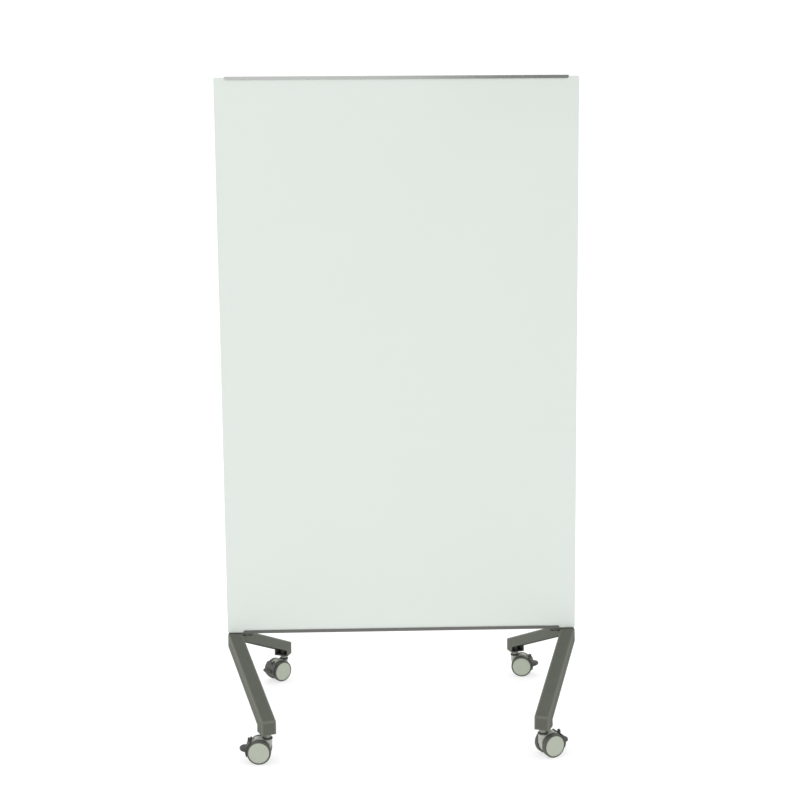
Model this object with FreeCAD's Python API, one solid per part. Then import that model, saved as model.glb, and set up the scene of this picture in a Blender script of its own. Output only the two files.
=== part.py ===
# Mobile glass whiteboard: a two-sided glass panel on two V-shaped legs with braked twin-wheel casters.
# Millimetres, +Z up. X runs along the board, the front face looks towards -Y, and the origin lies on
# the floor under the middle of the board.
import FreeCAD, Part
import math
import os

Vector = FreeCAD.Vector
ORIGIN = Vector(0, 0, 0)
ALONG_X = Vector(1, 0, 0)
ALONG_Y = Vector(0, 1, 0)
UP = Vector(0, 0, 1)

# Limits used to pick out edges by where they lie (millimetres) and by which way they run
edge_match = 0.01
edge_pick_angle = 25.0
mostly_along = math.cos(math.radians(edge_pick_angle))
mostly_across = math.sin(math.radians(edge_pick_angle))

# Glass panel and its inner frame
glass_width = 1016.0
glass_height = 1584.0
glass_thickness = 4.0
glass_bottom = 259.0
glass_corner_radius = 4.0
glass_edge_chamfer = 0.6
sheet_thickness = 0.5
sheet_inset = 6.0
frame_depth = 19.0
frame_face = 30.0
frame_wall = 1.5
frame_inset = 8.0
board_clearance = 0.4

# Edge rails and their screws
rail_web = 2.3
rail_lip = 2.0
rail_grip = 6.7
rail_clearance = 0.2
top_rail_inset = 29.5
top_rail_end_radius = 5.0
bottom_lip_inset = 48.0
bottom_lip_slant = 6.0
bottom_web_inset = 3.0
rail_screw_count = 5
rail_screw_inset = 70.0
rail_screw_diameter = 4.0
rail_screw_head = 8.0
rail_screw_length = 14.0
screw_clearance = 0.1

# Legs: drafted channels, open below, that end in a vertical foot
leg_apex_inset = 13.5
swivel_inset = 136.0
swivel_spread = 663.0
leg_top_width = 40.0
leg_draft = 3.7
leg_depth = 31.0
leg_wall = 3.0
leg_edge_radius = 3.0
apex_flat = 30.0
end_face_inset = 2.0
toe_reach = 18.0
heel_reach = 20.0
foot_clearance = 14.0
foot_height = 36.3

# Apex brackets and the bolts that hold them to the frame
bracket_plate = 5.0
bracket_flange_height = 30.0
weld_gap = 0.1
tongue_width = 28.0
notch_clearance = 0.3
spigot_height = 250.0
spigot_wall = 2.0
spigot_clearance = 0.3
leg_bolt_diameter = 8.0
leg_bolt_across_flats = 13.0
leg_bolt_head_height = 5.3
leg_nut_height = 6.5
leg_bolt_pitch = 16.0
leg_bolt_edge = 10.0
bolt_clearance = 0.2

# Caster sockets and stems
socket_plate = 4.0
socket_diameter = 20.0
socket_height = 25.0
stem_grip_diameter = 11.0
stem_grip_length = 24.0
stem_grip_clearance = 0.02
stem_collar_diameter = 21.0
stem_collar_height = 11.5
stem_collar_chamfer = 1.0
stem_journal_diameter = 10.0
stem_journal_length = 31.0
journal_clearance = 0.05

# Casters
wheel_radius = 32.5
wheel_width = 17.0
wheel_side_gap = 0.4
wheel_rim_thickness = 3.0
wheel_web_thickness = 3.0
wheel_hub_radius = 8.0
cap_bevel = 0.8
cap_bevel_width = 2.5
tyre_thickness = 4.5
tyre_width = 16.0
tyre_shoulder = 3.0
tyre_seat_clearance = 0.02
axle_diameter = 8.0
axle_clearance = 0.05
axle_seat_clearance = 0.02
axle_end_gap = 0.5
caster_trail = 22.0
hood_width = 20.0
hood_inset = 2.5
hood_rise = 5.0
hood_edge_radius = 1.5
neck_radius = 12.5
neck_skirt = 13.5
wheel_arch_clearance = 1.0
ring_thickness = 3.5
ring_radius = 14.0
ring_bore_clearance = 1.0
ring_chamfer = 0.8
ring_side_gap = 0.5
ring_gap = 0.5

# Brake pedals: a rocker on trunnions, with a shoe behind the tyres, a foot paddle and a release tab
pivot_radius = 20.0
pivot_angle = -15.0
pedal_arm_width = 11.0
pedal_hub_radius = 4.5
pedal_slot_clearance = 0.5
pedal_slot_floor = 12.5
trunnion_diameter = 5.0
trunnion_clearance = 0.05
trunnion_end_gap = 0.4
shoe_gap = 1.0
shoe_thickness = 4.2
shoe_tip_thickness = 1.8
shoe_width = 46.0
shoe_corner_radius = 6.0
shoe_low_angle = -22.0
shoe_high_angle = 50.0
shoe_seat_clearance = 0.6
shoe_seat_angle = 8.0
arm_inset = 0.3
arm_low_angle = -14.0
arm_high_angle = 4.0
paddle_width = 32.0
paddle_reach = 53.5
paddle_rise = 6.4
paddle_tip_thickness = 4.0
paddle_nose = 6.0
paddle_corner_radius = 6.0
paddle_edge_radius = 1.4
paddle_low_angle = -3.0
paddle_high_angle = 17.0
tab_width = 12.0
tab_reach = 29.5
tab_rise = 34.7
tab_tip_thickness = 2.6
tab_edge_radius = 0.8
tab_low_angle = 30.0
tab_high_angle = 44.0
lobe_overrun = 0.15

# Heading of each caster's trail, counter-clockwise from +X, as the casters stand
caster_headings = {
    "front_left": 180.0,
    "front_right": 24.0,
    "rear_left": 220.0,
    "rear_right": -8.0,
}

# Heights and places that follow from the sizes above
frame_half = frame_depth / 2
sheet_face = frame_half + sheet_thickness
panel_half = sheet_face + glass_thickness
glass_top = glass_bottom + glass_height
frame_outer = glass_width / 2 - frame_inset
frame_inner = frame_outer - frame_face
upright_x = frame_outer - frame_face / 2
rail_half = panel_half + rail_clearance + rail_lip
leg_top = glass_bottom - rail_web
end_face = glass_width / 2 - end_face_inset
leg_apex_x = glass_width / 2 - leg_apex_inset
swivel_x = glass_width / 2 - swivel_inset
swivel_y = swivel_spread / 2
foot_bottom = 2 * wheel_radius + foot_clearance
leg_angle = math.degrees(math.atan2(leg_apex_x - swivel_x, swivel_y))
foot_reach = math.hypot(leg_apex_x - swivel_x, swivel_y)
toe = foot_reach + toe_reach
heel = foot_reach - heel_reach
slope_tan = (leg_top - foot_bottom - foot_height) / (toe - apex_flat)
slope_cos = math.cos(math.atan(slope_tan))
draft_tan = math.tan(math.radians(leg_draft))
draft_cos = math.cos(math.radians(leg_draft))
leg_peak = leg_top + apex_flat * slope_tan
leg_overrun = leg_top_width
first_bolt_x = frame_inner - leg_bolt_edge
bolt_places = [first_bolt_x, first_bolt_x - leg_bolt_pitch]
tongue_end = bolt_places[-1] - leg_bolt_edge
stem_shoulder = foot_bottom - stem_collar_height
ring_top = stem_shoulder - ring_gap
hood_top = ring_top - ring_thickness
hood_half = hood_width / 2
hood_radius = wheel_radius - hood_inset
wheel_inner = hood_half + wheel_side_gap
wheel_outer = wheel_inner + wheel_width
rim_radius = wheel_radius - tyre_thickness
pedal_arm_half = pedal_arm_width / 2
shoe_inner = wheel_radius + shoe_gap
shoe_middle = shoe_inner + shoe_thickness / 2


def block(x_low, x_high, y_low, y_high, z_low, z_high):
    return Part.makeBox(x_high - x_low, y_high - y_low, z_high - z_low, Vector(x_low, y_low, z_low))


def prism(points, sweep):
    corners = [Vector(*point) for point in points]
    outline = Part.makePolygon(corners + corners[:1])
    return Part.Face(outline).extrude(sweep)


def turned(points, centre, axis):
    corners = [Vector(*point) for point in points]
    outline = Part.makePolygon(corners + corners[:1])
    return Part.Face(outline).revolve(centre, axis, 360)


def hexagon(across_flats, height, centre):
    corner = across_flats / math.sqrt(3)
    points = []
    for step in range(6):
        turn = math.radians(60 * step)
        points.append((centre.x + corner * math.cos(turn), centre.y + corner * math.sin(turn), centre.z))
    return prism(points, UP * height)


def joined(first, *others):
    return first.multiFuse(list(others)).removeSplitter()


def write(name, shape):
    shape.exportStep("parts/" + name + ".step")


def mirrored_left(shape):
    return shape.mirror(ORIGIN, ALONG_X)


def mirrored_front(shape):
    return shape.mirror(ORIGIN, ALONG_Y)


# Panel
def glass_sheet():
    # rear sheet, with ground corners and a fine arris round its writing face
    half = glass_width / 2
    sheet = block(-half, half, sheet_face, panel_half, glass_bottom, glass_top)
    corners = [edge for edge in sheet.Edges if abs(edge.tangentAt(edge.FirstParameter).y) > mostly_along]
    sheet = sheet.makeFillet(glass_corner_radius, corners)
    arris = [edge for edge in sheet.Edges if edge.BoundBox.YMin > panel_half - edge_match]
    return sheet.makeChamfer(glass_edge_chamfer, arris)


def steel_sheet():
    half = glass_width / 2 - sheet_inset
    return block(-half, half, frame_half, sheet_face, glass_bottom + sheet_inset, glass_top - sheet_inset)


def right_upright_tube():
    tube = block(frame_inner, frame_outer, -frame_half, frame_half, glass_bottom, glass_top)
    inside = frame_half - frame_wall
    bore = block(frame_inner + frame_wall, frame_outer - frame_wall, -inside, inside, glass_bottom, glass_top)
    return tube.cut(bore)


def cross_tube(z_low):
    tube = block(-frame_inner, frame_inner, -frame_half, frame_half, z_low, z_low + frame_face)
    inside = frame_half - frame_wall
    bore_low = z_low + frame_wall
    bore_high = z_low + frame_face - frame_wall
    return tube.cut(block(-frame_inner, frame_inner, -inside, inside, bore_low, bore_high))


def core_filler():
    half = frame_inner - board_clearance
    z_low = glass_bottom + frame_face + board_clearance
    z_high = glass_top - frame_face - board_clearance
    return block(-half, half, -frame_half, frame_half, z_low, z_high)


# Rails
def screw_places():
    end = frame_inner - rail_screw_inset
    pitch = 2 * end / (rail_screw_count - 1)
    return [step * pitch - end for step in range(rail_screw_count)]


def rail_screw(x, seat, inward, clearance):
    # countersunk screw whose head is flush with the rail's outside at height seat
    head = rail_screw_head / 2 + clearance
    shank = rail_screw_diameter / 2 + clearance
    neck = seat + inward * (rail_screw_head - rail_screw_diameter) / 2
    tip = seat + inward * (rail_screw_length + clearance)
    points = [(x, 0, seat), (x + head, 0, seat), (x + shank, 0, neck), (x + shank, 0, tip), (x, 0, tip)]
    return turned(points, Vector(x, 0, 0), UP)


def screw_set(seat, inward, clearance):
    return [rail_screw(x, seat, inward, clearance) for x in screw_places()]


def top_rail_channel():
    half = glass_width / 2 - top_rail_inset
    low = glass_top - rail_grip
    inside = panel_half + rail_clearance
    channel = block(-half, half, -rail_half, rail_half, low, glass_top + rail_web)
    channel = channel.cut(block(-half, half, -inside, inside, low, glass_top))
    ends = []
    for edge in channel.Edges:
        across = abs(edge.tangentAt(edge.FirstParameter).y) > mostly_along
        if across and edge.BoundBox.ZMax < low + edge_match:
            ends.append(edge)
    return channel.makeFillet(top_rail_end_radius, ends)


def bottom_rail_channel():
    # the web runs over the legs, and the lips stop short of them with slanted ends
    web_half = glass_width / 2 - bottom_web_inset
    channel = block(-web_half, web_half, -rail_half, rail_half, leg_top, glass_bottom)
    high = glass_width / 2 - bottom_lip_inset
    low = high + bottom_lip_slant
    lip_top = glass_bottom + rail_grip
    for y in (-rail_half, rail_half - rail_lip):
        points = [(-low, y, leg_top), (low, y, leg_top), (high, y, lip_top), (-high, y, lip_top)]
        channel = channel.fuse(prism(points, ALONG_Y * rail_lip))
    return channel.removeSplitter()


# Legs, worked out in a leg's own frame: x outwards, y along the leg from the apex, z up
def leg_top_height(y):
    return leg_peak - y * slope_tan


def leg_block(inset, opening):
    # the leg's full form at inset 0, or its hollow at inset one wall, run out by opening where it is open
    start = -leg_overrun
    front = toe - inset
    back = heel - opening
    drop = inset / slope_cos
    under = leg_depth / slope_cos + opening
    profile = [
        (start, leg_top_height(start) - drop),
        (front, leg_top_height(front) - drop),
        (front, foot_bottom - opening),
        (back, foot_bottom - opening),
        (back, leg_top_height(back) - under),
        (start, leg_top_height(start) - under),
    ]
    spread = toe + leg_overrun
    narrow = leg_top_width / 2 - inset / draft_cos
    wide = narrow + spread * draft_tan
    slab = prism([(-wide, y, z) for y, z in profile], ALONG_X * 2 * wide)
    crown = leg_top_height(start)
    keel = crown - spread / slope_cos
    arm_section = [(-narrow, start, crown), (narrow, start, crown), (wide, start, keel), (-wide, start, keel)]
    arm_sides = prism(arm_section, Vector(0, spread, -spread * slope_tan))
    foot_section = [(-narrow, toe, 0), (narrow, toe, 0), (wide, start, 0), (-wide, start, 0)]
    foot_sides = prism(foot_section, UP * crown)
    return slab.common(arm_sides).common(foot_sides)


def leg_form():
    form = leg_block(0, 0)
    side = leg_top_width / 2 - edge_match
    rounded = []
    for edge in form.Edges:
        middle = edge.CenterOfMass
        on_top = abs(middle.z - leg_top_height(middle.y)) < edge_match
        on_toe = abs(middle.y - toe) < edge_match
        on_side = abs(middle.x) > side
        if (on_top and on_toe) or (on_side and (on_top or on_toe)):
            rounded.append(edge)
    return form.makeFillet(leg_edge_radius, rounded)


def set_leg(shape):
    # from the leg's own frame to the rear right leg's place
    turned_leg = shape.rotated(ORIGIN, UP, leg_angle)
    return turned_leg.translated(ALONG_X * leg_apex_x)


def apex_limits():
    # the mitre with the other leg, the flat end and the flat top
    return block(0, end_face, 0, 2 * swivel_y, 0, leg_top)


def tongue(clearance):
    half = tongue_width / 2 + clearance
    z_low = leg_top - bracket_plate - clearance
    return block(tongue_end, upright_x, -half, half, z_low, leg_top)


def leg_channel():
    opening = leg_depth
    shell = leg_form().cut(leg_block(leg_wall, opening))
    leg = set_leg(shell).common(apex_limits())
    return leg.cut(tongue(notch_clearance))


# Apex bracket: a plate inside the tops of both legs, with an end flange and a spigot for the frame
def right_bracket():
    inside = set_leg(leg_block(leg_wall + weld_gap, leg_depth)).common(apex_limits())
    inside = inside.fuse(mirrored_front(inside)).removeSplitter()
    reach = swivel_y
    plate_low = leg_top - bracket_plate
    plate = inside.common(block(0, end_face, -reach, reach, plate_low, leg_top))
    flange_low = leg_top - bracket_flange_height
    flange = inside.common(block(end_face - bracket_plate, end_face, -reach, reach, flange_low, leg_top))
    half_x = frame_face / 2 - frame_wall - spigot_clearance
    half_y = frame_half - frame_wall - spigot_clearance
    spigot_top = leg_top + spigot_height
    spigot = block(upright_x - half_x, upright_x + half_x, -half_y, half_y, leg_top, spigot_top)
    bore_x = half_x - spigot_wall
    bore_y = half_y - spigot_wall
    spigot = spigot.cut(block(upright_x - bore_x, upright_x + bore_x, -bore_y, bore_y, leg_top, spigot_top))
    bracket = joined(plate, flange, tongue(0), spigot)
    for x in bolt_places:
        bracket = bracket.cut(bolt_hole(x))
    return bracket


def spigot_window():
    half_x = frame_face / 2 - frame_wall
    half_y = frame_half - frame_wall
    return block(upright_x - half_x, upright_x + half_x, -half_y, half_y, leg_top, glass_bottom)


def bolt_hole(x):
    z_low = leg_top - bracket_plate
    height = bracket_plate + rail_web + frame_wall
    return Part.makeCylinder(leg_bolt_diameter / 2 + bolt_clearance, height, Vector(x, 0, z_low))


def leg_bolt(x):
    seat = leg_top - bracket_plate
    nut_top = glass_bottom + frame_wall + leg_nut_height
    head = hexagon(leg_bolt_across_flats, leg_bolt_head_height, Vector(x, 0, seat - leg_bolt_head_height))
    shank = Part.makeCylinder(leg_bolt_diameter / 2, nut_top - seat, Vector(x, 0, seat))
    return joined(head, shank)


def leg_nut(x):
    low = Vector(x, 0, glass_bottom + frame_wall)
    nut = hexagon(leg_bolt_across_flats, leg_nut_height, low)
    return nut.cut(Part.makeCylinder(leg_bolt_diameter / 2 + screw_clearance, leg_nut_height, low))


# Caster socket in the foot, and the stem that is fixed in it
def caster_socket():
    inside = leg_block(leg_wall + weld_gap, 0)
    room = block(-leg_top_width, leg_top_width, heel, toe, foot_bottom, foot_bottom + socket_plate)
    plate = inside.common(room)
    axis_point = Vector(0, foot_reach, foot_bottom)
    tube = Part.makeCylinder(socket_diameter / 2, socket_height, axis_point)
    bore_radius = stem_grip_diameter / 2 + stem_grip_clearance
    return joined(plate, tube).cut(Part.makeCylinder(bore_radius, socket_height, axis_point))


def caster_stem():
    grip = stem_grip_diameter / 2
    collar = stem_collar_diameter / 2
    journal = stem_journal_diameter / 2
    top = foot_bottom + stem_grip_length
    end = hood_top - stem_journal_length
    points = [
        (0, 0, end),
        (journal, 0, end),
        (journal, 0, stem_shoulder),
        (collar - stem_collar_chamfer, 0, stem_shoulder),
        (collar, 0, stem_shoulder + stem_collar_chamfer),
        (collar, 0, foot_bottom),
        (grip, 0, foot_bottom),
        (grip, 0, top),
        (0, 0, top),
    ]
    return turned(points, ORIGIN, UP)


# Caster, in its own frame: x along the trail, y along the axle, z up from the floor under the stem
axle_point = Vector(caster_trail, 0, wheel_radius)
hood_centre = axle_point + UP * hood_rise


def around_axle(radius, angle):
    turn = math.radians(angle)
    return Vector(caster_trail + radius * math.cos(turn), 0, wheel_radius + radius * math.sin(turn))


def axle_cylinder(radius, y_low, y_high):
    return Part.makeCylinder(radius, y_high - y_low, axle_point + ALONG_Y * y_low, ALONG_Y)


def side_plate(edges, half_width):
    # an outline in the caster's side view, made as thick as the piece is wide
    face = Part.Face(Part.Wire([edge.toShape() for edge in edges]))
    face.translate(ALONG_Y * -half_width)
    return face.extrude(ALONG_Y * 2 * half_width)


def around_hood(angle):
    turn = math.radians(angle)
    return hood_centre + Vector(math.cos(turn), 0, math.sin(turn)) * hood_radius


def hood_cheek():
    # a round about a point above the axle, and a neck block whose front runs down to touch the round
    upper = Part.Arc(around_hood(180), around_hood(90), around_hood(0))
    lower = Part.Arc(around_hood(0), around_hood(-90), around_hood(-180))
    bulb = side_plate([upper, lower], hood_half)
    front_low = Vector(-neck_radius, 0, hood_top - neck_skirt)
    front_high = Vector(-neck_radius, 0, hood_top)
    away = front_low - hood_centre
    bearing = math.degrees(math.atan2(away.z, away.x))
    chin = around_hood(bearing + math.degrees(math.acos(hood_radius / away.Length)))
    corners = [front_low, front_high, Vector(caster_trail, 0, hood_top), hood_centre, chin]
    edges = [Part.LineSegment(corners[step - 1], corners[step]) for step in range(len(corners))]
    cheek = joined(bulb, side_plate(edges, hood_half))
    rims = [edge for edge in cheek.Edges if abs(edge.CenterOfMass.y) > hood_half - edge_match
            and edge.BoundBox.ZMin < front_low.z - edge_match]
    return cheek.makeFillet(hood_edge_radius, rims)


def shoe_seat():
    # the room that the brake shoe needs behind the hood
    seat = shoe_inner - shoe_seat_clearance
    clear = shoe_inner + 2 * shoe_thickness
    low = shoe_low_angle - shoe_seat_angle
    high = shoe_high_angle + shoe_seat_angle
    middle = (low + high) / 2
    edges = [
        Part.Arc(around_axle(seat, low), around_axle(seat, middle), around_axle(seat, high)),
        Part.LineSegment(around_axle(seat, high), around_axle(clear, high)),
        Part.Arc(around_axle(clear, high), around_axle(clear, middle), around_axle(clear, low)),
        Part.LineSegment(around_axle(clear, low), around_axle(seat, low)),
    ]
    return side_plate(edges, hood_width)


def caster_hood():
    cheek = hood_cheek()
    tall = 3 * wheel_radius
    nose = Part.makeCylinder(neck_radius, hood_top)
    cheek = cheek.common(nose.fuse(block(0, tall, -hood_half, hood_half, 0, tall)))
    cheek = cheek.cut(Part.makeCylinder(ring_radius + ring_side_gap, tall, UP * hood_top)).cut(shoe_seat())
    neck = Part.makeCylinder(neck_radius, neck_skirt, Vector(0, 0, hood_top - neck_skirt))
    arch = wheel_radius + wheel_arch_clearance
    for side in (-1, 1):
        y_low = min(side * hood_half, side * 2 * neck_radius)
        neck = neck.cut(axle_cylinder(arch, y_low, y_low + 2 * neck_radius - hood_half))
    hood = joined(cheek, neck)
    bore_radius = stem_journal_diameter / 2 + journal_clearance
    bore_low = UP * (hood_top - stem_journal_length)
    hood = hood.cut(Part.makeCylinder(bore_radius, stem_journal_length, bore_low))
    hood = hood.cut(axle_cylinder(axle_diameter / 2 + axle_seat_clearance, -hood_half, hood_half))
    slot_half = pedal_arm_half + pedal_slot_clearance
    slot_low = caster_trail + pedal_slot_floor
    hood = hood.cut(block(slot_low, slot_low + tall, -slot_half, slot_half, 0, tall))
    return hood.cut(trunnion(trunnion_clearance, hood_half + trunnion_end_gap))


def swivel_ring():
    ring = Part.makeCylinder(ring_radius, ring_thickness, UP * hood_top)
    rim = [edge for edge in ring.Edges if edge.BoundBox.ZMin > ring_top - edge_match]
    ring = ring.makeChamfer(ring_chamfer, rim)
    bore = stem_journal_diameter / 2 + ring_bore_clearance
    return ring.cut(Part.makeCylinder(bore, ring_thickness, UP * hood_top))


def axle_pin():
    end = wheel_outer - wheel_web_thickness - axle_end_gap
    return axle_cylinder(axle_diameter / 2, -end, end)


def wheel_profile(points):
    return [(caster_trail + radius, y, wheel_radius) for radius, y in points]


def wheel_centre():
    # hub, web and rim in one moulding, with a smooth bevelled cap on the outside
    bore = axle_diameter / 2 + axle_clearance
    web = wheel_outer - wheel_web_thickness
    seat = rim_radius - tyre_seat_clearance
    rim_inside = seat - wheel_rim_thickness
    lip = wheel_outer - cap_bevel
    points = [
        (0, web), (bore, web), (bore, wheel_inner), (wheel_hub_radius, wheel_inner), (wheel_hub_radius, web),
        (rim_inside, web), (rim_inside, wheel_inner), (seat, wheel_inner), (seat, lip),
        (seat - cap_bevel_width, wheel_outer), (0, wheel_outer),
    ]
    return turned(wheel_profile(points), axle_point, ALONG_Y)


def tyre():
    middle = (wheel_inner + wheel_outer) / 2
    low = middle - tyre_width / 2
    high = middle + tyre_width / 2
    points = wheel_profile([(rim_radius, low), (wheel_radius, low), (wheel_radius, high), (rim_radius, high)])
    ring = turned(points, axle_point, ALONG_Y)
    shoulders = [edge for edge in ring.Edges if edge.BoundBox.ZMin < edge_match
                 and edge.BoundBox.YLength < edge_match]
    return ring.makeFillet(tyre_shoulder, shoulders)


# Brake pedal
pivot_point = around_axle(pivot_radius, pivot_angle)


def trunnion(clearance, half_length):
    low = pivot_point - ALONG_Y * half_length
    return Part.makeCylinder(trunnion_diameter / 2 + clearance, 2 * half_length, low, ALONG_Y)


def brake_shoe():
    shoe_outer = shoe_inner + shoe_thickness
    middle_angle = (shoe_low_angle + shoe_high_angle) / 2
    inner = [around_axle(shoe_inner, angle) for angle in (shoe_low_angle, middle_angle, shoe_high_angle)]
    outer = [
        around_axle(shoe_outer, shoe_high_angle),
        around_axle(shoe_outer, middle_angle),
        around_axle(shoe_inner + shoe_tip_thickness, shoe_low_angle),
    ]
    edges = [
        Part.Arc(*inner),
        Part.LineSegment(inner[2], outer[0]),
        Part.Arc(*outer),
        Part.LineSegment(outer[2], inner[0]),
    ]
    shoe = side_plate(edges, shoe_width / 2)
    low_corners = [edge for edge in shoe.Edges if edge.BoundBox.YLength < edge_match
                   and edge.Length < shoe_thickness + edge_match and edge.CenterOfMass.z < wheel_radius]
    return shoe.makeFillet(shoe_corner_radius, low_corners)


def pedal_arm():
    lean = math.radians(pivot_angle + 90)
    offset = Vector(math.cos(lean), 0, math.sin(lean)) * (pedal_hub_radius - arm_inset)
    high = around_axle(shoe_middle, arm_high_angle)
    low = around_axle(shoe_middle, arm_low_angle)
    corners = [pivot_point + offset, high, low, pivot_point - offset]
    edges = [Part.LineSegment(corners[step], corners[(step + 1) % 4]) for step in range(4)]
    arm = side_plate(edges, pedal_arm_half)
    hub_low = pivot_point - ALONG_Y * pedal_arm_half
    hub = Part.makeCylinder(pedal_hub_radius, pedal_arm_width, hub_low, ALONG_Y)
    return joined(arm, hub, trunnion(0, hood_half - trunnion_end_gap))


def tapered_lobe(root_low, root_high, tip, tip_offset, half_width):
    # wedge in side view, from its root on the shoe past its tip, so that the outline alone cuts its end
    high = tip + tip_offset
    low = tip - tip_offset
    high = high + (high - root_high) * lobe_overrun
    low = low + (low - root_low) * lobe_overrun
    corners = [root_high, high, low, root_low]
    edges = [Part.LineSegment(corners[step], corners[(step + 1) % 4]) for step in range(4)]
    return side_plate(edges, half_width)


def rounded_rim(lobe, normal, radius):
    # rounds the edges along the broad faces, away from the root
    rim = []
    for edge in lobe.Edges:
        across = abs(edge.tangentAt(edge.FirstParameter).dot(normal)) < mostly_across
        away = (edge.CenterOfMass - axle_point).Length > shoe_inner + shoe_thickness
        if across and away:
            rim.append(edge)
    return lobe.makeFillet(radius, rim)


def foot_paddle():
    root_low = around_axle(shoe_middle, paddle_low_angle)
    root_high = around_axle(shoe_middle, paddle_high_angle)
    tip = axle_point + Vector(paddle_reach, 0, paddle_rise)
    half = paddle_width / 2
    lobe = tapered_lobe(root_low, root_high, tip, UP * paddle_tip_thickness / 2, half)
    nose = tip.x - paddle_nose
    left = Vector(nose, half, 0)
    right = Vector(nose, -half, 0)
    edges = [
        Part.LineSegment(Vector(caster_trail, half, 0), left),
        Part.Arc(left, Vector(tip.x, 0, 0), right),
        Part.LineSegment(right, Vector(caster_trail, -half, 0)),
        Part.LineSegment(Vector(caster_trail, -half, 0), Vector(caster_trail, half, 0)),
    ]
    plan = Part.Face(Part.Wire([edge.toShape() for edge in edges])).extrude(UP * 3 * wheel_radius)
    corners = [edge for edge in plan.Edges if edge.BoundBox.XLength < edge_match
               and edge.BoundBox.XMin > nose - edge_match]
    plan = plan.makeFillet(paddle_corner_radius, corners)
    return rounded_rim(lobe.common(plan), UP, paddle_edge_radius)


def release_tab():
    root_low = around_axle(shoe_middle, tab_low_angle)
    root_high = around_axle(shoe_middle, tab_high_angle)
    tip = axle_point + Vector(tab_reach, 0, tab_rise)
    half = tab_width / 2
    lobe = tapered_lobe(root_high, root_low, tip, ALONG_X * tab_tip_thickness / 2, half)
    shoulder = tip.z - half
    edges = [
        Part.LineSegment(Vector(0, half, 0), Vector(0, half, shoulder)),
        Part.Arc(Vector(0, half, shoulder), Vector(0, 0, tip.z), Vector(0, -half, shoulder)),
        Part.LineSegment(Vector(0, -half, shoulder), Vector(0, -half, 0)),
        Part.LineSegment(Vector(0, -half, 0), Vector(0, half, 0)),
    ]
    front = Part.Face(Part.Wire([edge.toShape() for edge in edges]))
    lobe = lobe.common(front.extrude(ALONG_X * 4 * wheel_radius))
    return rounded_rim(lobe, ALONG_X, tab_edge_radius)


def brake_pedal():
    return joined(brake_shoe(), pedal_arm(), foot_paddle(), release_tab())


def place_caster(shape, corner):
    side = -1 if corner.endswith("left") else 1
    fore = -1 if corner.startswith("front") else 1
    headed = shape.rotated(ORIGIN, UP, caster_headings[corner])
    return headed.translated(Vector(side * swivel_x, fore * swivel_y, 0))


os.makedirs("parts", exist_ok=True)

# Panel pieces
rear_glass = glass_sheet()
write("rear_glass", rear_glass)
write("front_glass", mirrored_front(rear_glass))
rear_sheet = steel_sheet()
write("rear_steel_sheet", rear_sheet)
write("front_steel_sheet", mirrored_front(rear_sheet))
right_upright = right_upright_tube()
write("right_upright", right_upright)
write("left_upright", mirrored_left(right_upright))
write("core_board", core_filler())

# Rails, cross tubes and their fasteners
rail_top = glass_top + rail_web
top_holes = screw_set(rail_top, -1, screw_clearance)
bottom_holes = screw_set(leg_top, 1, screw_clearance)
bolt_holes = [bolt_hole(side * x) for side in (-1, 1) for x in bolt_places]
top_rail = top_rail_channel().cut(top_holes)
write("top_rail", top_rail)
write("top_cross_tube", cross_tube(glass_top - frame_face).cut(top_holes))
window = spigot_window()
bottom_rail = bottom_rail_channel().cut(bottom_holes + bolt_holes + [window, mirrored_left(window)])
write("bottom_rail", bottom_rail)
write("bottom_cross_tube", cross_tube(glass_bottom).cut(bottom_holes + bolt_holes))
rail_screws = screw_set(rail_top, -1, 0) + screw_set(leg_top, 1, 0)
write("rail_screws", Part.makeCompound(rail_screws))

# Legs and brackets
rear_right_leg = leg_channel()
write("rear_right_leg", rear_right_leg)
write("front_right_leg", mirrored_front(rear_right_leg))
write("rear_left_leg", mirrored_left(rear_right_leg))
write("front_left_leg", mirrored_left(mirrored_front(rear_right_leg)))
bracket = right_bracket()
write("right_apex_bracket", bracket)
write("left_apex_bracket", mirrored_left(bracket))
fasteners = []
for side in (-1, 1):
    for x in bolt_places:
        fasteners.append(leg_bolt(side * x))
        fasteners.append(leg_nut(side * x))
write("leg_bolts", Part.makeCompound(fasteners))
socket = set_leg(caster_socket())
socket_pair = [socket, mirrored_front(socket)]
write("caster_sockets", Part.makeCompound(socket_pair + [mirrored_left(one) for one in socket_pair]))
stem = caster_stem()
write("caster_stems", Part.makeCompound([place_caster(stem, corner) for corner in caster_headings]))

# Casters
hood = caster_hood()
ring = swivel_ring()
axle = axle_pin()
wheel_a = wheel_centre()
tyre_a = tyre()
pedal = brake_pedal()
caster_pieces = {
    "hood": hood,
    "swivel_ring": ring,
    "axle": axle,
    "wheel_a": wheel_a,
    "wheel_b": mirrored_front(wheel_a),
    "tyre_a": tyre_a,
    "tyre_b": mirrored_front(tyre_a),
    "brake_pedal": pedal,
}
for corner in caster_headings:
    for piece, shape in caster_pieces.items():
        write(corner + "_" + piece, place_caster(shape, corner))
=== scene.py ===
import bpy
import math
from mathutils import Matrix, Vector


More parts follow.
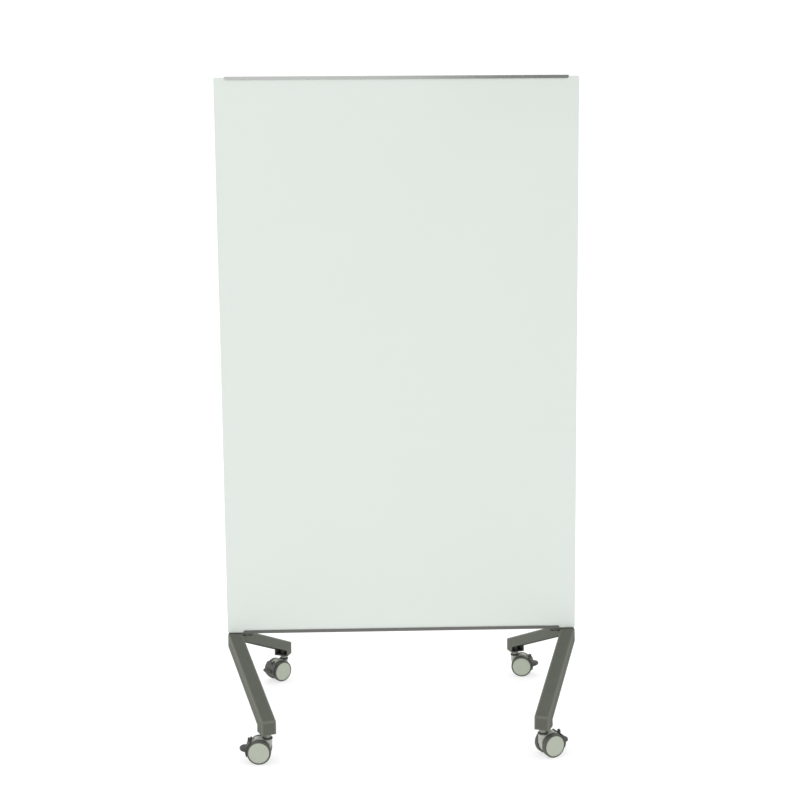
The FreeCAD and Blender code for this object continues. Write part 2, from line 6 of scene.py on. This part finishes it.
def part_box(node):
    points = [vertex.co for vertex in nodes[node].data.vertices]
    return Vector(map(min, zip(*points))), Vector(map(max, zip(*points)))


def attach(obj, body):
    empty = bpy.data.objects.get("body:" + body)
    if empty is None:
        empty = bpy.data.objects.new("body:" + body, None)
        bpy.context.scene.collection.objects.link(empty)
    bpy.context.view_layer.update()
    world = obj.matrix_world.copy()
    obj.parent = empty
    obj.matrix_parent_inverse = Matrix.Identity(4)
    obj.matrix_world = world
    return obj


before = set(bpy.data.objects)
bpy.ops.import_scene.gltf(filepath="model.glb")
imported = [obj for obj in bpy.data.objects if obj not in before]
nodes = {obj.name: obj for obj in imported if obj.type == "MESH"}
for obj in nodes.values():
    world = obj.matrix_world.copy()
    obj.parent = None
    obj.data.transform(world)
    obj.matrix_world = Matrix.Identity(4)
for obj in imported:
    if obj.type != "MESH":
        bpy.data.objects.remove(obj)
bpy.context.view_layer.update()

# Inner frame
# Four mill-finish aluminium tubes stand between the two faces. The uprights take the leg spigots, and the
# cross tubes take the rail screws. Extruding leaves fine lines along each tube.
tube_light = (0.50, 0.51, 0.52, 1.0)
tube_dark = (0.38, 0.39, 0.40, 1.0)
tube_line_scale = 700.0
tube_length_scale = 4.0
tube_roughness = (0.35, 0.5)
line_detail = 3.0
line_height = 0.0002
line_strength = 0.15


def drawn_lines_group():
    # fine lines that run along one axis: the stretch is small along the lines and large across them
    group = bpy.data.node_groups.new("Drawn lines", "ShaderNodeTree")
    group.interface.new_socket("Stretch", in_out="INPUT", socket_type="NodeSocketVector")
    group.interface.new_socket("Low", in_out="INPUT", socket_type="NodeSocketFloat")
    group.interface.new_socket("High", in_out="INPUT", socket_type="NodeSocketFloat")
    group.interface.new_socket("Mask", in_out="OUTPUT", socket_type="NodeSocketFloat")
    group.interface.new_socket("Level", in_out="OUTPUT", socket_type="NodeSocketFloat")
    start = group.nodes.new("NodeGroupInput")
    end = group.nodes.new("NodeGroupOutput")
    place = group.nodes.new("ShaderNodeTexCoord")
    stretch = group.nodes.new("ShaderNodeMapping")
    noise = group.nodes.new("ShaderNodeTexNoise")
    level = group.nodes.new("ShaderNodeMapRange")
    noise.inputs["Scale"].default_value = 1.0
    noise.inputs["Detail"].default_value = line_detail
    group.links.new(place.outputs["Object"], stretch.inputs["Vector"])
    group.links.new(start.outputs["Stretch"], stretch.inputs["Scale"])
    group.links.new(stretch.outputs["Vector"], noise.inputs["Vector"])
    group.links.new(noise.outputs["Fac"], level.inputs["Value"])
    group.links.new(start.outputs["Low"], level.inputs["To Min"])
    group.links.new(start.outputs["High"], level.inputs["To Max"])
    group.links.new(noise.outputs["Fac"], end.inputs["Mask"])
    group.links.new(level.outputs["Result"], end.inputs["Level"])
    return group


def new_material(name, roughness, metallic):
    material = bpy.data.materials.new(name)
    material.use_nodes = True
    shader = material.node_tree.nodes["Principled BSDF"]
    shader.inputs["Roughness"].default_value = roughness
    shader.inputs["Metallic"].default_value = metallic
    return material, shader


def place_group(material, group, values):
    node = material.node_tree.nodes.new("ShaderNodeGroup")
    node.node_tree = group
    for name, value in values.items():
        node.inputs[name].default_value = value
    return node


def two_tone(material, shader, mask, first, second):
    mix = material.node_tree.nodes.new("ShaderNodeMix")
    mix.data_type = "RGBA"
    mix.inputs["A"].default_value = first
    mix.inputs["B"].default_value = second
    material.node_tree.links.new(mask, mix.inputs["Factor"])
    material.node_tree.links.new(mix.outputs["Result"], shader.inputs["Base Color"])
    return mix


def raise_surface(material, shader, height, distance, strength):
    bump = material.node_tree.nodes.new("ShaderNodeBump")
    bump.inputs["Distance"].default_value = distance
    bump.inputs["Strength"].default_value = strength
    material.node_tree.links.new(height, bump.inputs["Height"])
    material.node_tree.links.new(bump.outputs["Normal"], shader.inputs["Normal"])


def finish_nodes(names, material):
    for name in names:
        mesh = nodes[name].data
        mesh.materials.clear()
        mesh.materials.append(material)


drawn_lines = drawn_lines_group()


def drawn_metal(name, stretch, light, dark, roughness):
    low, high = roughness
    material, shader = new_material(name, high, 1.0)
    lines = place_group(material, drawn_lines, {"Stretch": stretch, "Low": low, "High": high})
    two_tone(material, shader, lines.outputs["Mask"], dark, light)
    material.node_tree.links.new(lines.outputs["Level"], shader.inputs["Roughness"])
    raise_surface(material, shader, lines.outputs["Mask"], line_height, line_strength)
    return material


upright_stretch = (tube_line_scale, tube_line_scale, tube_length_scale)
cross_stretch = (tube_length_scale, tube_line_scale, tube_line_scale)
upright_metal = drawn_metal(
    "Mill finish along uprights", upright_stretch, tube_light, tube_dark, tube_roughness)
cross_metal = drawn_metal(
    "Mill finish along cross tubes", cross_stretch, tube_light, tube_dark, tube_roughness)
finish_nodes(("left_upright", "right_upright"), upright_metal)
finish_nodes(("top_cross_tube", "bottom_cross_tube"), cross_metal)

# Core board
# A light filler of paper honeycomb, cut to lie inside the frame tubes and glued to the backing sheets.
# Its brown cells show only where the board is opened; their centres are darkened as painted shade in the
# hollows.
core_paper = (0.55, 0.44, 0.30, 1.0)
core_hollow_shade = (0.36, 0.28, 0.18, 1.0)
core_roughness = 0.9
core_cell_scale = 70.0
core_cell_randomness = 0.25
core_cell_height = 0.002
core_cell_strength = 0.5

core_material, core_shader = new_material("Honeycomb paper", core_roughness, 0.0)
core_tree = core_material.node_tree
core_place = core_tree.nodes.new("ShaderNodeTexCoord")
core_cells = core_tree.nodes.new("ShaderNodeTexVoronoi")
core_cells.feature = "DISTANCE_TO_EDGE"
core_cells.inputs["Scale"].default_value = core_cell_scale
core_cells.inputs["Randomness"].default_value = core_cell_randomness
core_tree.links.new(core_place.outputs["Object"], core_cells.inputs["Vector"])
core_mask = core_cells.outputs["Distance"]
# darker towards each cell's centre: painted shade down the hollow cells
two_tone(core_material, core_shader, core_mask, core_paper, core_hollow_shade)
raise_surface(core_material, core_shader, core_mask, core_cell_height, core_cell_strength)
finish_nodes(("core_board",), core_material)

# Backing sheets
# Thin zinc-coated steel behind each sheet of glass, so that magnets hold. The coat dries in pale and dark
# crystals about a finger wide.
zinc_light = (0.56, 0.57, 0.58, 1.0)
zinc_dark = (0.40, 0.41, 0.42, 1.0)
zinc_roughness = 0.45
zinc_crystal_scale = 60.0

zinc_material, zinc_shader = new_material("Zinc-coated sheet", zinc_roughness, 1.0)
zinc_tree = zinc_material.node_tree
zinc_place = zinc_tree.nodes.new("ShaderNodeTexCoord")
zinc_crystals = zinc_tree.nodes.new("ShaderNodeTexVoronoi")
zinc_crystals.inputs["Scale"].default_value = zinc_crystal_scale
zinc_tone = zinc_tree.nodes.new("ShaderNodeSeparateColor")
zinc_tree.links.new(zinc_place.outputs["Object"], zinc_crystals.inputs["Vector"])
zinc_tree.links.new(zinc_crystals.outputs["Color"], zinc_tone.inputs["Color"])
two_tone(zinc_material, zinc_shader, zinc_tone.outputs["Red"], zinc_dark, zinc_light)
finish_nodes(("front_steel_sheet", "rear_steel_sheet"), zinc_material)

# Glass faces
# Two sheets of tempered glass, painted pale green-white on the back, with ground edges that look deeper
# green. They are glued to the backing sheets and gripped by the rails. Wiping leaves a faint uneven gloss.
glass_paint = (0.744, 0.790, 0.744, 1.0)
glass_paint_wiped = (0.737, 0.783, 0.739, 1.0)
glass_roughness = (0.10, 0.16)
glass_wiping_scale = 3.0
glass_specular = 0.25
glass_edge_green = (0.36, 0.52, 0.45, 1.0)
glass_edge_width = 0.0006
patch_detail = 4.0


def mottle_group():
    # slow uneven patches over a surface, as a mask and as a value between two limits
    group = bpy.data.node_groups.new("Uneven patches", "ShaderNodeTree")
    group.interface.new_socket("Scale", in_out="INPUT", socket_type="NodeSocketFloat")
    group.interface.new_socket("Low", in_out="INPUT", socket_type="NodeSocketFloat")
    group.interface.new_socket("High", in_out="INPUT", socket_type="NodeSocketFloat")
    group.interface.new_socket("Mask", in_out="OUTPUT", socket_type="NodeSocketFloat")
    group.interface.new_socket("Level", in_out="OUTPUT", socket_type="NodeSocketFloat")
    start = group.nodes.new("NodeGroupInput")
    end = group.nodes.new("NodeGroupOutput")
    place = group.nodes.new("ShaderNodeTexCoord")
    noise = group.nodes.new("ShaderNodeTexNoise")
    level = group.nodes.new("ShaderNodeMapRange")
    noise.inputs["Detail"].default_value = patch_detail
    group.links.new(place.outputs["Object"], noise.inputs["Vector"])
    group.links.new(start.outputs["Scale"], noise.inputs["Scale"])
    group.links.new(noise.outputs["Fac"], level.inputs["Value"])
    group.links.new(start.outputs["Low"], level.inputs["To Min"])
    group.links.new(start.outputs["High"], level.inputs["To Max"])
    group.links.new(noise.outputs["Fac"], end.inputs["Mask"])
    group.links.new(level.outputs["Result"], end.inputs["Level"])
    return group


mottle = mottle_group()


def patchy_finish(name, first, second, scale, roughness, metallic):
    # a finish whose tone and roughness both wander in patches
    low, high = roughness
    material, shader = new_material(name, high, metallic)
    patches = place_group(material, mottle, {"Scale": scale, "Low": low, "High": high})
    tone = two_tone(material, shader, patches.outputs["Mask"], first, second)
    material.node_tree.links.new(patches.outputs["Level"], shader.inputs["Roughness"])
    return material, shader, tone, patches


glass_material, glass_shader, glass_tone = patchy_finish(
    "Back-painted glass", glass_paint, glass_paint_wiped, glass_wiping_scale, glass_roughness, 0.0)[:3]
glass_shader.inputs["Specular IOR Level"].default_value = glass_specular
glass_tree = glass_material.node_tree
glass_place = glass_tree.nodes.new("ShaderNodeTexCoord")
glass_axes = glass_tree.nodes.new("ShaderNodeSeparateXYZ")
glass_side = glass_tree.nodes.new("ShaderNodeMath")
glass_edge = glass_tree.nodes.new("ShaderNodeMath")
glass_side.operation = "ABSOLUTE"
glass_edge.operation = "GREATER_THAN"
glass_edge.inputs[1].default_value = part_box("front_glass")[1].x - glass_edge_width
glass_tree.links.new(glass_place.outputs["Object"], glass_axes.inputs["Vector"])
glass_tree.links.new(glass_axes.outputs["X"], glass_side.inputs[0])
glass_tree.links.new(glass_side.outputs["Value"], glass_edge.inputs[0])
glass_edge_tone = two_tone(
    glass_material, glass_shader, glass_edge.outputs["Value"], glass_paint, glass_edge_green)
glass_tree.links.new(glass_tone.outputs["Result"], glass_edge_tone.inputs["A"])
finish_nodes(("front_glass", "rear_glass"), glass_material)

# Edge rails
# U-shaped aluminium extrusions pressed over both sheets of glass and screwed to the cross tubes. The top
# one is satin silver and the bottom one is dark grey.
rail_stretch = (3.0, 900.0, 900.0)
top_rail_light = (0.570, 0.580, 0.570, 1.0)
top_rail_dark = (0.460, 0.470, 0.460, 1.0)
top_rail_roughness = (0.2, 0.3)
bottom_rail_light = (0.20, 0.20, 0.19, 1.0)
bottom_rail_dark = (0.14, 0.14, 0.13, 1.0)
bottom_rail_roughness = (0.35, 0.5)

top_rail_metal = drawn_metal(
    "Satin silver rail", rail_stretch, top_rail_light, top_rail_dark, top_rail_roughness)
bottom_rail_metal = drawn_metal(
    "Dark grey rail", rail_stretch, bottom_rail_light, bottom_rail_dark, bottom_rail_roughness)
finish_nodes(("top_rail",), top_rail_metal)
finish_nodes(("bottom_rail",), bottom_rail_metal)

# Fasteners and axles
# Zinc-plated screws hold the rails, and the axles are cut from the same plated bar, a little darker where
# grease has dulled it. The bolts and nuts of the apex brackets are plated too, and then blackened; their
# black also stands as painted shade under the bottom rail.
corners = ("front_left", "front_right", "rear_left", "rear_right")
plate_light = (0.52, 0.52, 0.50, 1.0)
plate_dull = (0.36, 0.36, 0.34, 1.0)
plate_patch_scale = 180.0
plate_roughness = (0.28, 0.45)
# near black: blackened plate and painted shade under the bottom rail
bolt_shade_black = (0.055, 0.056, 0.052, 1.0)
bolt_shade_black_rubbed = (0.085, 0.086, 0.080, 1.0)
bolt_patch_scale = 160.0
bolt_roughness = (0.48, 0.62)
bolt_metallic = 0.6

plated_material = patchy_finish(
    "Plated steel", plate_dull, plate_light, plate_patch_scale, plate_roughness, 1.0)[0]
bolt_material = patchy_finish(
    "Blackened plate and rail shade", bolt_shade_black, bolt_shade_black_rubbed, bolt_patch_scale, bolt_roughness, bolt_metallic)[0]
finish_nodes(("rail_screws",), plated_material)
finish_nodes([corner + "_axle" for corner in corners], plated_material)
finish_nodes(("leg_bolts",), bolt_material)

# Legs and apex brackets
# Folded steel channels, welded in pairs at the apex with the bracket inside, then powder coated in a slightly
# olive gunmetal grey. The coat has a fine orange-peel grain and is glossier along the bends, which are
# coloured paler as a painted highlight.
leg_paint = (0.108, 0.114, 0.095, 1.0)
leg_paint_pale = (0.126, 0.133, 0.110, 1.0)
leg_patch_scale = 25.0
leg_roughness = (0.62, 0.78)
leg_specular = 0.15
leg_grain_scale = 900.0
leg_grain_height = 0.0003
leg_grain_strength = 0.2
leg_apex = 0.4945
leg_foot = (0.372, 0.3315)
leg_half_width = 0.020
leg_peak = 0.2691
leg_fall = 0.4142
leg_toe = 0.3714
fold_width = 0.0065
# paler colour along the bends: a painted highlight where the rounded bends catch light
fold_highlight_paint = (0.170, 0.178, 0.150, 1.0)
fold_roughness = 0.42


def math_step(group, operation, first, second):
    # one step of arithmetic on sockets or plain numbers
    node = group.nodes.new("ShaderNodeMath")
    node.operation = operation
    for socket, value in zip(node.inputs, (first, second)):
        if isinstance(value, bpy.types.NodeSocket):
            group.links.new(value, socket)
        else:
            socket.default_value = value
    return node.outputs["Value"]


def fold_group():
    # how near a point lies to the bends of its leg; the four legs mirror each other, so one rule serves all
    group = bpy.data.node_groups.new("Folded edges", "ShaderNodeTree")
    group.interface.new_socket("Mask", in_out="OUTPUT", socket_type="NodeSocketFloat")
    end = group.nodes.new("NodeGroupOutput")
    place = group.nodes.new("ShaderNodeTexCoord")
    axes = group.nodes.new("ShaderNodeSeparateXYZ")
    group.links.new(place.outputs["Object"], axes.inputs["Vector"])
    turn = math.atan2(leg_apex - leg_foot[0], leg_foot[1])
    outward = math_step(group, "ABSOLUTE", axes.outputs["X"], 0.0)
    side = math_step(group, "SUBTRACT", outward, leg_apex)
    ahead = math_step(group, "ABSOLUTE", axes.outputs["Y"], 0.0)
    across = math_step(group, "ADD", math_step(group, "MULTIPLY", side, math.cos(turn)),
                       math_step(group, "MULTIPLY", ahead, math.sin(turn)))
    along = math_step(group, "SUBTRACT", math_step(group, "MULTIPLY", ahead, math.cos(turn)),
                      math_step(group, "MULTIPLY", side, math.sin(turn)))
    top = math_step(group, "SUBTRACT", leg_peak, math_step(group, "MULTIPLY", along, leg_fall))
    from_middle = math_step(group, "ABSOLUTE", across, 0.0)
    from_side = math_step(group, "SUBTRACT", leg_half_width, from_middle)
    from_top = math_step(group, "SUBTRACT", top, axes.outputs["Z"])
    from_toe = math_step(group, "SUBTRACT", leg_toe, along)
    gaps = [math_step(group, "ABSOLUTE", gap, 0.0) for gap in (from_side, from_top, from_toe)]
    nearest = math_step(group, "ADD", gaps[0], gaps[1])
    nearest = math_step(group, "MINIMUM", nearest, math_step(group, "ADD", gaps[0], gaps[2]))
    nearest = math_step(group, "MINIMUM", nearest, math_step(group, "ADD", gaps[1], gaps[2]))
    fade = group.nodes.new("ShaderNodeMapRange")
    fade.inputs["From Max"].default_value = fold_width
    fade.inputs["To Min"].default_value = 1.0
    fade.inputs["To Max"].default_value = 0.0
    group.links.new(nearest, fade.inputs["Value"])
    group.links.new(fade.outputs["Result"], end.inputs["Mask"])
    return group


leg_material, leg_shader, leg_tone, leg_patches = patchy_finish(
    "Gunmetal powder coat", leg_paint, leg_paint_pale, leg_patch_scale, leg_roughness, 0.0)
leg_shader.inputs["Specular IOR Level"].default_value = leg_specular
leg_tree = leg_material.node_tree
leg_folds = place_group(leg_material, fold_group(), {})
# the bends are coloured paler here: a painted highlight
leg_fold_highlight_tone = two_tone(leg_material, leg_shader, leg_folds.outputs["Mask"], leg_paint, fold_highlight_paint)
leg_tree.links.new(leg_tone.outputs["Result"], leg_fold_highlight_tone.inputs["A"])
leg_gloss = leg_tree.nodes.new("ShaderNodeMix")
leg_gloss.inputs["B"].default_value = fold_roughness
leg_tree.links.new(leg_folds.outputs["Mask"], leg_gloss.inputs["Factor"])
leg_tree.links.new(leg_patches.outputs["Level"], leg_gloss.inputs["A"])
leg_tree.links.new(leg_gloss.outputs["Result"], leg_shader.inputs["Roughness"])
leg_grain = place_group(leg_material, mottle, {"Scale": leg_grain_scale, "Low": 0.0, "High": 1.0})
raise_surface(leg_material, leg_shader, leg_grain.outputs["Mask"], leg_grain_height, leg_grain_strength)
finish_nodes([corner + "_leg" for corner in corners], leg_material)
finish_nodes(("left_apex_bracket", "right_apex_bracket"), leg_material)

# Caster sockets and stems
# A foot plate with a tube, welded inside each foot and dipped in dull black primer, dark enough to paint in
# the shade inside the open heel. The stem pressed into it is turned steel with a grey phosphate coat; its
# collar shows below the foot.
# near black: the primer's colour, darkened further as painted shade inside the heel
socket_shade_black = (0.034, 0.034, 0.031, 1.0)
socket_shade_black_dusty = (0.050, 0.050, 0.046, 1.0)
socket_patch_scale = 90.0
socket_roughness = (0.6, 0.8)
stem_grey = (0.30, 0.30, 0.275, 1.0)
stem_grey_dark = (0.22, 0.22, 0.20, 1.0)
stem_patch_scale = 220.0
stem_roughness = (0.38, 0.55)
stem_metallic = 0.8

socket_material = patchy_finish(
    "Black primer and heel shade", socket_shade_black, socket_shade_black_dusty, socket_patch_scale, socket_roughness, 0.0)[0]
stem_material = patchy_finish(
    "Phosphated steel", stem_grey_dark, stem_grey, stem_patch_scale, stem_roughness, stem_metallic)[0]
finish_nodes(("caster_sockets",), socket_material)
finish_nodes(("caster_stems",), stem_material)

# Caster hoods and wheel centres
# Moulded nylon in light grey. The hood carries the axle between the wheels, and each wheel centre has a
# smooth cap on its outer side. The caps are a little greener than the hoods.
hood_grey = (0.43, 0.445, 0.40, 1.0)
hood_grey_worn = (0.38, 0.395, 0.35, 1.0)
hood_roughness = (0.38, 0.5)
cap_grey = (0.45, 0.485, 0.40, 1.0)
cap_grey_worn = (0.41, 0.445, 0.36, 1.0)
cap_roughness = (0.4, 0.52)
mould_patch_scale = 60.0
mould_grain_scale = 1500.0
mould_grain_height = 0.0002
mould_grain_strength = 0.15


def moulded_plastic(name, base, worn, roughness):
    # patches of wear over the fine grain that a mould leaves
    material, shader = patchy_finish(name, base, worn, mould_patch_scale, roughness, 0.0)[:2]
    grain = place_group(material, mottle, {"Scale": mould_grain_scale, "Low": 0.0, "High": 1.0})
    raise_surface(material, shader, grain.outputs["Mask"], mould_grain_height, mould_grain_strength)
    return material


hood_plastic = moulded_plastic("Light grey nylon", hood_grey, hood_grey_worn, hood_roughness)
cap_plastic = moulded_plastic("Grey-green nylon", cap_grey, cap_grey_worn, cap_roughness)
finish_nodes([corner + "_hood" for corner in corners], hood_plastic)
finish_nodes([corner + "_wheel_" + end for corner in corners for end in "ab"], cap_plastic)

# Tyres, swivel rings and brake pedals
# The tyres are soft dark grey polyurethane moulded round the wheel centres. The rings and the pedals are dark
# glass-filled nylon, as dull as the tyres.
tyre_grey = (0.060, 0.063, 0.052, 1.0)
tyre_grey_dusty = (0.085, 0.088, 0.075, 1.0)
tyre_roughness = (0.55, 0.75)
pedal_grey = (0.058, 0.060, 0.055, 1.0)
pedal_grey_worn = (0.074, 0.076, 0.070, 1.0)
pedal_roughness = (0.6, 0.75)

tyre_rubber = moulded_plastic("Soft dark tread", tyre_grey, tyre_grey_dusty, tyre_roughness)
pedal_plastic = moulded_plastic("Dark filled nylon", pedal_grey, pedal_grey_worn, pedal_roughness)
finish_nodes([corner + "_tyre_" + end for corner in corners for end in "ab"], tyre_rubber)
finish_nodes([corner + "_swivel_ring" for corner in corners], pedal_plastic)
finish_nodes([corner + "_brake_pedal" for corner in corners], pedal_plastic)

# Upright plugs
# A moulded plug in light grey nylon closes the open top of each upright beyond the end of the top rail. It is
# pressed in last, just below the tube's rim, and its edges are eased.
plug_wall = 0.0015
plug_gap = 0.0002
plug_sink = 0.0004
plug_depth = 0.014
plug_edge = 0.0008
plug_edge_steps = 3

bpy.ops.object.select_all(action="DESELECT")
for side in ("left", "right"):
    tube_low, tube_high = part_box(side + "_upright")
    plug_size = tube_high - tube_low - 2.0 * (plug_wall + plug_gap) * Vector((1.0, 1.0, 0.0))
    plug_size.z = plug_depth
    plug_middle = (tube_low + tube_high) / 2.0
    plug_middle.z = tube_high.z - plug_sink - plug_depth / 2.0
    bpy.ops.mesh.primitive_cube_add(size=1.0, location=plug_middle)
    plug = bpy.context.object
    plug.name = side + "_upright_plug"
    plug.scale = plug_size
    bpy.ops.object.transform_apply(location=True, rotation=True, scale=True)
    plug_easing = plug.modifiers.new("eased edges", "BEVEL")
    plug_easing.width = plug_edge
    plug_easing.segments = plug_edge_steps
    bpy.ops.object.modifier_apply(modifier=plug_easing.name)
    plug.data.materials.append(hood_plastic)
    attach(plug, "board")

# Floor and light
# A plain white studio floor with a faint glow under an even white sky. A low soft light on the left picks out
# the sides of the legs. A dark screen, itself out of sight, shades the right end of the top rail.
floor_size = 60.0
floor_white = (0.50, 0.50, 0.50, 1.0)
floor_roughness = 0.8
floor_glow = 0.58
pure_white = (1.0, 1.0, 1.0, 1.0)
sky_strength = 1.08
light_place = Vector((-2.6, 0.7, 0.7))
light_aim = Vector((-0.45, -0.1, 0.2))
light_size = 1.2
light_power = 10.0
screen_place = (2.45, -5.0, 3.6)
screen_size = (4.0, 2.9)
screen_grey = (0.02, 0.02, 0.02, 1.0)
screen_roughness = 0.9

bpy.ops.mesh.primitive_plane_add(size=floor_size, location=(0.0, 0.0, 0.0))
floor = bpy.context.object
floor.name = "studio_floor"
floor_material, floor_shader = new_material("White floor", floor_roughness, 0.0)
floor_shader.inputs["Base Color"].default_value = floor_white
floor_shader.inputs["Emission Color"].default_value = pure_white
floor_shader.inputs["Emission Strength"].default_value = floor_glow
floor.data.materials.append(floor_material)

world = bpy.data.worlds.new("White studio")
bpy.context.scene.world = world
world.use_nodes = True
sky = world.node_tree.nodes["Background"]
sky.inputs["Color"].default_value = pure_white
sky.inputs["Strength"].default_value = sky_strength

light_data = bpy.data.lights.new("left side light", "AREA")
light_data.shape = "SQUARE"
light_data.size = light_size
light_data.energy = light_power
light = bpy.data.objects.new("left side light", light_data)
bpy.context.scene.collection.objects.link(light)
light.location = light_place
light.rotation_mode = "QUATERNION"
light.rotation_quaternion = (light_aim - light_place).to_track_quat("-Z", "Y")

bpy.ops.mesh.primitive_plane_add(size=1.0, location=screen_place, rotation=(math.radians(90.0), 0.0, 0.0))
screen = bpy.context.object
screen.name = "dark_screen"
screen.scale = (screen_size[0], screen_size[1], 1.0)
screen.visible_camera = False
screen_material, screen_shader = new_material("Dark cloth", screen_roughness, 0.0)
screen_shader.inputs["Base Color"].default_value = screen_grey
screen.data.materials.append(screen_material)

# Camera
# The viewing point worked out from the board's corners and wheels in the photograph. The three angles give
# the axes that the camera looks along.
camera_place = Vector((-0.0844, -3.6135, 1.3802))
camera_pitch = math.radians(7.0016)
camera_yaw = math.radians(1.3542)
camera_roll = math.radians(-0.5198)
camera_lens = 56.99
camera_sensor = 36.0

ahead = Vector((math.sin(camera_yaw) * math.cos(camera_pitch),
                math.cos(camera_yaw) * math.cos(camera_pitch),
                -math.sin(camera_pitch)))
level_right = Vector((math.cos(camera_yaw), -math.sin(camera_yaw), 0.0))
level_up = level_right.cross(ahead)
right = math.cos(camera_roll) * level_right + math.sin(camera_roll) * level_up
up = math.cos(camera_roll) * level_up - math.sin(camera_roll) * level_right
camera_data = bpy.data.cameras.new("camera")
camera_data.lens = camera_lens
camera_data.sensor_width = camera_sensor
camera = bpy.data.objects.new("camera", camera_data)
bpy.context.scene.collection.objects.link(camera)
camera.matrix_world = Matrix((right, up, -ahead)).transposed().to_4x4()
camera.location = camera_place
bpy.context.scene.camera = camera
bpy.context.scene.view_settings.view_transform = "Standard"
